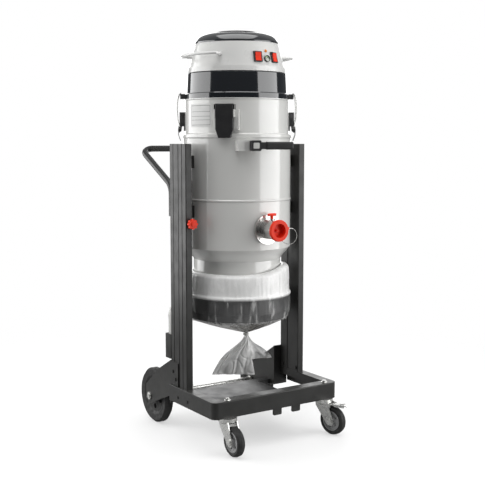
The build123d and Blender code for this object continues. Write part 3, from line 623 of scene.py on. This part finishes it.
def nurbs_line(name, route, resolution):
    """Points read from a NURBS spline whose control points are the route."""
    data = bpy.data.curves.new(name, "CURVE")
    data.dimensions = "3D"
    spline = data.splines.new("NURBS")
    spline.points.add(len(route) - 1)
    for point, place_at in zip(spline.points, route):
        point.co = (*place_at, 1.0)
    spline.order_u = 3
    spline.use_endpoint_u = True
    spline.resolution_u = resolution
    curve = bpy.data.objects.new(name, data)
    bpy.context.scene.collection.objects.link(curve)
    bpy.context.view_layer.update()
    line = [v.co.copy() for v in bpy.data.meshes.new_from_object(curve).vertices]
    bpy.data.objects.remove(curve)
    return line


def make_tether():
    """Steel wire from the plug's eye to a small anchor on the inlet flange."""
    line = nurbs_line("tether_line", TETHER_ROUTE, 12)
    wire = tube_along("tether_wire", line, TETHER_DIAMETER / 2, 10)
    place(wire, None, STAINLESS)
    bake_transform(wire)
    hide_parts("tether")
    foot = Vector(TETHER_ROUTE[-1])
    reach = FLANGE_FACE - foot.y
    anchor = turned_piece(
        "tether_anchor",
        [(0.0005, -0.0012), (0.0022, -0.001), (0.0024, 0.0), (0.0024, 0.0022), (0.0042, 0.0026),
         (0.0044, reach - 0.0002), (0.0005, reach - 0.0001)],
        foot, (0, 1, 0), 20)
    place(anchor, "root", STAINLESS)


make_tether()


# ---------------------------------------------------------------- window in the shaker's head
SHAKER_TURN = radians(-17)


def make_lever_window():
    """A pale blank insert let into the front of the shaker's head."""
    front, rim, half_x, half_z, corner = -270.4 * MM, 0.5 * MM, 12 * MM, 11 * MM, 4 * MM
    centre_z = 1163 * MM
    sides = 32
    loops = []
    for inset, depth in ((0.0, front + 0.02 * MM), (0.0, front - rim), (1.2 * MM, front - rim - 0.3 * MM)):
        loop = []
        for side in range(sides):
            a = 2 * pi * (side + 0.5) / sides
            x = (half_x - corner) * (1 if cos(a) > 0 else -1) + (corner - inset) * cos(a)
            z = (half_z - corner) * (1 if sin(a) > 0 else -1) + (corner - inset) * sin(a)
            loop.append(Vector((x * cos(SHAKER_TURN) - depth * sin(SHAKER_TURN),
                                DRUM_Y + x * sin(SHAKER_TURN) + depth * cos(SHAKER_TURN), centre_z + z)))
        loops.append(loop)
    points = [point for loop in loops for point in loop]
    faces = grid_faces(3, sides, True)
    faces += [tuple(range(2 * sides, 3 * sides)), tuple(reversed(range(sides)))]
    window = mesh_piece("lever_window", points, faces, smooth=False)
    place(window, "shaker_lever", TIE)


make_lever_window()


# ---------------------------------------------------------------- bag film
KNOT = Vector((31.0 * MM, -20.0 * MM + DRUM_Y, 387.0 * MM))
FILM_COLUMNS = 360
FILM_OUTLINE = (        # radius and height of the film, from its upper edge down to the ring's foot
    (0.1806, 0.6560), (0.1900, 0.6585), (0.2030, 0.6560), (0.2110, 0.6490), (0.2134, 0.6380),
    (0.2142, 0.6200), (0.2140, 0.5900), (0.2150, 0.5760), (0.2190, 0.5690), (0.2202, 0.5620),
    (0.2190, 0.5560), (0.2162, 0.5510), (0.2160, 0.5300), (0.2158, 0.5020), (0.2118, 0.4820),
    (0.2060, 0.4650),
)
FILM_RISE = 0.026           # how much higher the film's edge stands on the shaker's side
FILM_RISE_HEADING = radians(-33)
FILM_PLEATS = 15
RING_CLEAR_R = 0.2134       # the film never comes nearer to the axis than this beside the ring
RING_SPAN = (0.468, 0.575)  # heights between which the film lies beside the ring
KNOT_TOP_Z = 0.394
PLEAT_DEPTH = 0.0070


def wander(x, y, seed):
    """Smooth noise from -1 to 1 on a plane, different for each seed."""
    return noise.noise(Vector((x, y, seed * 7.31)))


def film_radius(angle, radius, height):
    """The film's radius beside the cassette and ring: soft pleats, and sharper creases over the ring."""
    round_x, round_y = cos(angle) * 3.0, sin(angle) * 3.0
    soft = noise.noise(Vector((round_x, round_y, height * 14))) * 0.0016
    fine = noise.noise(Vector((round_x * 6, round_y * 6, height * 9))) * 0.0011
    over_ring = min(1.0, max(0.0, (0.558 - height) / 0.02))
    gathers = noise.noise(Vector((round_x * 9, round_y * 9, height * 3 + 4)))
    crease = max(0.0, gathers - 0.12) * 0.012 * over_ring
    side = radius + soft + fine + crease
    return max(side, RING_CLEAR_R) if RING_SPAN[0] < height < RING_SPAN[1] else side


def make_bag_film():
    """The bag: film drawn down round the cassette and ring, and gathered in pleats to the knot."""
    rows = smooth_line(FILM_OUTLINE, 5)
    points = []
    for radius, height in rows:
        for column in range(FILM_COLUMNS):
            a = 2 * pi * column / FILM_COLUMNS
            r = film_radius(a, radius, height)
            share = max(0.0, (height - 0.60) / 0.058)
            rise = max(0.0, cos(a - FILM_RISE_HEADING)) ** 3 * FILM_RISE
            lift = share * (rise + 0.003 * wander(cos(a) * 2, sin(a) * 2, 2))
            points.append((r * cos(a), DRUM_Y + r * sin(a), height + lift))
    cone_rows = 60
    foot_r, foot_z = FILM_OUTLINE[-1]
    knot_r = 0.0074
    for row in range(1, cone_rows + 1):
        t = row / cone_rows
        centre_x = KNOT.x * t
        centre_y = DRUM_Y * (1 - t) + KNOT.y * t
        mean_r = foot_r * (1 - t) + knot_r * t
        sag = -0.003 * sin(pi * t) ** 1.5
        height = foot_z * (1 - t) + KNOT_TOP_Z * t + sag
        for column in range(FILM_COLUMNS):
            a = 2 * pi * column / FILM_COLUMNS
            uneven = wander(cos(a) * 1.6, sin(a) * 1.6, 5) * 5.0
            phase = FILM_PLEATS * a + uneven
            swell = sin(pi * min(1.0, t * 1.15)) ** 0.8
            depth = PLEAT_DEPTH * swell * (0.6 + 0.4 * wander(cos(a) * 4, sin(a) * 4, 9))
            ridge = abs(sin(phase / 2)) * 2 - 1
            crumple = noise.noise(Vector((cos(a) * 8, sin(a) * 8, t * 3))) * 0.0018 * sin(pi * t)
            side = mean_r * (1 + 0.16 * t * ridge)
            points.append((centre_x + side * cos(a), centre_y + side * sin(a),
                           height + depth * ridge + crumple))
    total = len(rows) + cone_rows
    bag = mesh_piece("film_bag", points, grid_faces(total, FILM_COLUMNS, True))
    place(bag, "root", FILM_BAG)
    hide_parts("bag_film")


FILM_BAG = bag_film_material("film_bag")
# the tail's film is tinted paler than the bag's, standing for light shining through it from behind: painted
# light
TAIL_FILM_PAINTED_BACKLIGHT = film("film_tail", 0.78, 0.92, tint=(0.95, 0.95, 0.94))
FILM_PACK = film("film_pack", 0.93, 1.0, tint=(0.70, 0.70, 0.68))
make_bag_film()


# ---------------------------------------------------------------- bag tail
TAIL_TURN = radians(-33.3)
ACROSS = Vector((cos(TAIL_TURN), sin(TAIL_TURN), 0.0))
DEEP = Vector((-sin(TAIL_TURN), cos(TAIL_TURN), 0.0))


def tail_point(across, deep, height):
    """A point from its place across the tail and behind its middle plane."""
    return Vector((0, DRUM_Y, 0)) + ACROSS * across + DEEP * deep + Vector((0, 0, height))


def fan(left, right, depth, folds, seed, back):
    """Points of one layer of film between two edge lines, with folds that run down from the knot."""
    rows, columns = 48, 90
    left_line = smooth_line(left, rows // (len(left) - 1))
    right_line = smooth_line(right, rows // (len(right) - 1))
    points = []
    count = min(len(left_line), len(right_line))
    for row in range(count):
        t = row / (count - 1)
        (x0, z0), (x1, z1) = left_line[row], right_line[row]
        for column in range(columns):
            s = column / (columns - 1)
            x = x0 + (x1 - x0) * s
            z = z0 + (z1 - z0) * s
            bulge = depth * (sin(pi * s) ** 0.6) * (sin(pi * min(1.0, t * 0.93 + 0.05)) ** 0.7)
            wave = abs(wander(s * folds + 0.8 * t, t * 1.3, seed))
            fold = (0.30 - min(wave, 0.30)) * (0.008 + 0.018 * t) * (sin(pi * s) ** 0.3)
            crease = abs(wander(s * 4 - t * 2, t * 3.5 + s, seed + 3))
            crumple = (0.22 - min(crease, 0.22)) * 0.016 * t + wander(s * 11, t * 9, seed + 5) * 0.0008
            points.append(tail_point(x, back + (bulge + fold + crumple), z))
    return points, count, columns


def make_bag_tail():
    """The loose end below the knot: three folded fans of film, one behind another."""
    shapes = (
        # left edge, right edge, depth towards the viewer, folds, seed, offset behind the middle
        (((0.034, 0.386), (0.012, 0.352), (-0.052, 0.300), (-0.080, 0.262), (-0.105, 0.213)),
         ((0.041, 0.386), (0.052, 0.350), (0.058, 0.300), (0.066, 0.262), (0.074, 0.214)),
         -0.012, 5, 1, -0.002),
        (((0.036, 0.386), (0.022, 0.352), (-0.020, 0.310), (-0.035, 0.282), (-0.050, 0.268)),
         ((0.043, 0.386), (0.066, 0.352), (0.106, 0.326), (0.136, 0.300), (0.144, 0.284)),
         0.006, 4, 2, 0.007),
        (((0.034, 0.386), (0.012, 0.352), (-0.050, 0.300), (-0.077, 0.262), (-0.102, 0.214)),
         ((0.041, 0.386), (0.052, 0.350), (0.057, 0.300), (0.064, 0.262), (0.071, 0.216)),
         0.010, 3, 3, 0.003),
    )
    points, faces = [], []
    for left, right, depth, folds, seed, back in shapes:
        more, rows, columns = fan(left, right, depth, folds, seed, back)
        start = len(points)
        points += more
        faces += [tuple(i + start for i in face) for face in grid_faces(rows, columns, False)]
    tail = mesh_piece("film_tail", points, faces)
    place(tail, "root", TAIL_FILM_PAINTED_BACKLIGHT)
    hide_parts("bag_tail")


make_bag_tail()


# ---------------------------------------------------------------- spare bags in the rear pocket
def make_spare_bags():
    """Folded spare bags standing in the pocket: a soft pack with turned-over edges."""
    low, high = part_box("spare_bags")
    centre = (low + high) / 2
    half = (high - low) / 2
    sides, levels = 72, 44
    points = []
    for level in range(levels):
        t = level / (levels - 1)
        z = low.z + (high.z - low.z) * t
        close = 1 - 0.20 * max(0.0, t - 0.86) / 0.14 - 0.1 * max(0.0, 0.06 - t) / 0.06
        for side in range(sides):
            a = 2 * pi * side / sides
            c, s = cos(a), sin(a)
            x = abs(c) ** 0.35 * (1 if c > 0 else -1)
            y = abs(s) ** 0.55 * (1 if s > 0 else -1)
            layers = 1 + 0.05 * sin(y * 16) * abs(x)
            crumple = 1 + 0.07 * noise.noise(Vector((c * 2.4, s * 2.4, t * 7))) - 0.05
            points.append((centre.x + half.x * 0.97 * x * close * layers * crumple,
                           centre.y + half.y * 0.94 * y * close * crumple,
                           z + 0.004 * wander(c * 2, s * 2, 8) * t))
    faces = grid_faces(levels, sides, True)
    faces.append(tuple(reversed(range(sides))))
    top = len(points)
    points.append((centre.x, centre.y, high.z - 0.006))
    first = (levels - 1) * sides
    for side in range(sides):
        faces.append((first + side, first + (side + 1) % sides, top))
    pack = mesh_piece("spare_bag_pack", points, faces)
    place(pack, "root", FILM_PACK)
    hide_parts("spare_bags")


make_spare_bags()


# ---------------------------------------------------------------- floor, world and lights
def make_floor():
    """A pale floor that fades out into the backdrop far from the object."""
    bpy.ops.mesh.primitive_circle_add(vertices=96, radius=9.0, fill_type="NGON", location=(0, 0, -0.0002))
    floor = bpy.context.object
    floor.name = "floor"
    material, tree, shader = new_material("floor")
    point = object_point(tree)
    tree.links.new(mix_colours(tree, noise_at(tree, point, 2.0, 5.0), (0.93, 0.93, 0.93), (0.91, 0.91, 0.91)),
                   shader.inputs["Base Color"])
    shader.inputs["Roughness"].default_value = 0.6
    shader.inputs["Specular IOR Level"].default_value = 0.2
    x, y, _ = split_point(tree)
    squares = math_node(tree, "ADD", math_node(tree, "MULTIPLY", x, x),
                        math_node(tree, "MULTIPLY", y, y))
    distance = math_node(tree, "SQRT", squares)
    tree.links.new(spread(tree, distance, 0.5, 0.0, 0.45, 2.2), shader.inputs["Alpha"])
    floor.data.materials.append(material)


WORLD_STRENGTH = 0.55


def make_world():
    """A white backdrop; for everything but the camera it is a dim studio, brighter overhead."""
    world = bpy.data.worlds.new("studio")
    bpy.context.scene.world = world
    world.use_nodes = True
    tree = world.node_tree
    tree.nodes.clear()
    out = tree.nodes.new("ShaderNodeOutputWorld")
    seen = tree.nodes.new("ShaderNodeBackground")
    seen.inputs["Color"].default_value = (1.0, 1.0, 1.0, 1.0)
    seen.inputs["Strength"].default_value = 1.0
    room = tree.nodes.new("ShaderNodeBackground")
    coordinate = tree.nodes.new("ShaderNodeTexCoord")
    split = tree.nodes.new("ShaderNodeSeparateXYZ")
    tree.links.new(coordinate.outputs["Generated"], split.inputs[0])
    ramp = tree.nodes.new("ShaderNodeValToRGB")
    ramp.color_ramp.elements[0].position = 0.30
    ramp.color_ramp.elements[0].color = (0.07, 0.07, 0.07, 1)
    ramp.color_ramp.elements[1].position = 0.95
    ramp.color_ramp.elements[1].color = (1.0, 1.0, 1.0, 1)
    middle = ramp.color_ramp.elements.new(0.55)
    middle.color = (0.16, 0.165, 0.17, 1)
    half = math_node(tree, "MULTIPLY_ADD", split.outputs["Z"], 0.5)
    half.node.inputs[2].default_value = 0.5
    tree.links.new(half, ramp.inputs["Fac"])
    tree.links.new(ramp.outputs["Color"], room.inputs["Color"])
    room.inputs["Strength"].default_value = WORLD_STRENGTH
    path = tree.nodes.new("ShaderNodeLightPath")
    mix = tree.nodes.new("ShaderNodeMixShader")
    tree.links.new(path.outputs["Is Camera Ray"], mix.inputs[0])
    tree.links.new(room.outputs[0], mix.inputs[1])
    tree.links.new(seen.outputs[0], mix.inputs[2])
    tree.links.new(mix.outputs[0], out.inputs["Surface"])


VIEW_AZIMUTH = atan2(CAMERA_FORWARD.x, CAMERA_FORWARD.y)


def softbox(name, turn, distance, height, width, tall, power, aim_z=0.85):
    """An area light that faces the object, turned clockwise from the camera as seen from above."""
    heading = VIEW_AZIMUTH + pi + radians(turn)
    position = Vector((sin(heading) * distance, cos(heading) * distance, height))
    data = bpy.data.lights.new(name, "AREA")
    data.shape = "RECTANGLE"
    data.size = width
    data.size_y = tall
    data.energy = power
    lamp = bpy.data.objects.new(name, data)
    lamp.location = position
    aim = Vector((0, 0, aim_z)) - position
    lamp.rotation_mode = "QUATERNION"
    lamp.rotation_quaternion = aim.to_track_quat("-Z", "Y")
    bpy.context.scene.collection.objects.link(lamp)


bpy.context.scene.view_settings.view_transform = "Standard"
make_floor()
make_world()
softbox("left_softbox", 95, 2.6, 1.25, 3.4, 2.4, 75)
softbox("right_softbox", -75, 2.6, 1.25, 2.6, 2.4, 65)
softbox("top_softbox", 0, 0.6, 3.4, 2.4, 2.4, 45)
softbox("back_softbox", 180, 3.0, 1.6, 3.0, 2.0, 40)
